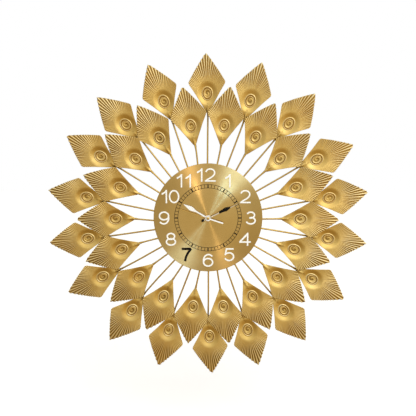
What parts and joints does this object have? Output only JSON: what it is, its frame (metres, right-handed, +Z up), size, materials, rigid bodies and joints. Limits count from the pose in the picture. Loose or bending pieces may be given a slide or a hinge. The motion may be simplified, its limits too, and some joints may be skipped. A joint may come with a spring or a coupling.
{
  "type": "sunburst wall clock",
  "caption": "Sunburst wall clock: pleated gold leaves on rods around a brushed dial with numerals, three hands and a quartz movement behind.",
  "frame": {"origin": "on the hands' axis in the wall plane, at the centre of the movement's flat back", "axes": "+Z up to twelve o'clock, +Y into the wall, the dial faces -Y, +X to three o'clock"},
  "size_m": [0.5934, 0.0295, 0.6008],
  "materials": {
    "gold_leaf": "pressed sheet with a warm gold plating, satin",
    "gold_rod": "gold-plated round rod, bright satin",
    "gold_dial": "gold-plated sheet, brushed in circles",
    "white_lacquer": "white lacquer, satin",
    "hand_steel": "polished steel, blackened over the middle of the blade",
    "brass": "machined brass",
    "steel": "plain sheet steel",
    "black_plastic": "moulded black, fine texture",
    "white_nylon": "moulded natural nylon",
    "rubber": "matt black rubber",
    "circuit_green": "green solder mask",
    "copper": "enamelled copper winding",
    "cell_wrap": "plain printed-metal cell wrap with no marking"
  },
  "bodies": {
    "clock_frame": {"spoke_frame": "gold_rod", "dial": "gold_dial", "outer_leaf_01": "gold_leaf", "outer_leaf_02": "gold_leaf", "outer_leaf_03": "gold_leaf", "outer_leaf_04": "gold_leaf", "outer_leaf_05": "gold_leaf", "outer_leaf_06": "gold_leaf", "outer_leaf_07": "gold_leaf", "outer_leaf_08": "gold_leaf", "outer_leaf_09": "gold_leaf", "outer_leaf_10": "gold_leaf", "outer_leaf_11": "gold_leaf", "outer_leaf_12": "gold_leaf", "outer_leaf_13": "gold_leaf", "outer_leaf_14": "gold_leaf", "outer_leaf_15": "gold_leaf", "outer_leaf_16": "gold_leaf", "outer_leaf_17": "gold_leaf", "outer_leaf_18": "gold_leaf", "inner_leaf_01": "gold_leaf", "inner_leaf_02": "gold_leaf", "inner_leaf_03": "gold_leaf", "inner_leaf_04": "gold_leaf", "inner_leaf_05": "gold_leaf", "inner_leaf_06": "gold_leaf", "inner_leaf_07": "gold_leaf", "inner_leaf_08": "gold_leaf", "inner_leaf_09": "gold_leaf", "inner_leaf_10": "gold_leaf", "inner_leaf_11": "gold_leaf", "inner_leaf_12": "gold_leaf", "inner_leaf_13": "gold_leaf", "inner_leaf_14": "gold_leaf", "inner_leaf_15": "gold_leaf", "inner_leaf_16": "gold_leaf", "inner_leaf_17": "gold_leaf", "inner_leaf_18": "gold_leaf", "mounting_nut": "brass", "mounting_washer": "brass", "rubber_gasket": "rubber", "movement_case_front": "black_plastic", "movement_case_rear": "black_plastic", "circuit_board": "circuit_green", "coil": "copper", "stator": "steel", "battery_contact_plus": "steel", "battery_contact_spring": "steel"},
    "seconds": {"second_wheel": "brass", "second_hand": "white_lacquer"},
    "minutes": {"centre_wheel": "brass", "minute_hand": "hand_steel"},
    "hours": {"hour_wheel": "white_nylon", "hour_hand": "white_lacquer"},
    "motor_rotor": {"rotor": "steel"},
    "intermediate": {"intermediate_wheel": "white_nylon"},
    "third": {"third_wheel": "white_nylon"},
    "motion": {"motion_wheel": "white_nylon"},
    "knob": {"setting_knob": "white_nylon"},
    "cell": {"battery": "cell_wrap"}
  },
  "joints": [
    {"name": "second_hand_spin", "type": "hinge", "parent": "clock_frame", "child": "seconds", "pos_m": [0, 0, 0], "axis": [0, 1, 0], "continuous": true},
    {"name": "minute_hand_spin", "type": "hinge", "parent": "clock_frame", "child": "minutes", "pos_m": [0, 0, 0], "axis": [0, 1, 0], "continuous": true},
    {"name": "hour_hand_spin", "type": "hinge", "parent": "clock_frame", "child": "hours", "pos_m": [0, 0, 0], "axis": [0, 1, 0], "continuous": true},
    {"name": "rotor_spin", "type": "hinge", "parent": "clock_frame", "child": "motor_rotor", "pos_m": [0.00006, 0, 0.01454], "axis": [0, 1, 0], "continuous": true},
    {"name": "intermediate_wheel_spin", "type": "hinge", "parent": "clock_frame", "child": "intermediate", "pos_m": [0.00131, 0, 0.00745], "axis": [0, 1, 0], "continuous": true},
    {"name": "third_wheel_spin", "type": "hinge", "parent": "clock_frame", "child": "third", "pos_m": [-0.00823, 0, 0.00475], "axis": [0, 1, 0], "continuous": true},
    {"name": "motion_wheel_spin", "type": "hinge", "parent": "clock_frame", "child": "motion", "pos_m": [0.00846, 0, 0.00308], "axis": [0, 1, 0], "continuous": true},
    {"name": "setting_knob_spin", "type": "hinge", "parent": "clock_frame", "child": "knob", "pos_m": [0.01691, 0, 0.00616], "axis": [0, 1, 0], "continuous": true},
    {"name": "battery_slide", "type": "slide", "parent": "clock_frame", "child": "cell", "axis": [0, 1, 0], "range_m": [0, 0.03]}
  ],
  "couplings": [
    {"joint": "minute_hand_spin", "follows": "second_hand_spin", "ratio": 0.016667},
    {"joint": "hour_hand_spin", "follows": "second_hand_spin", "ratio": 0.0013889},
    {"joint": "rotor_spin", "follows": "second_hand_spin", "ratio": 30},
    {"joint": "intermediate_wheel_spin", "follows": "second_hand_spin", "ratio": -6},
    {"joint": "third_wheel_spin", "follows": "second_hand_spin", "ratio": -0.13333},
    {"joint": "motion_wheel_spin", "follows": "second_hand_spin", "ratio": -0.0055556},
    {"joint": "setting_knob_spin", "follows": "second_hand_spin", "ratio": 0.016667}
  ]
}
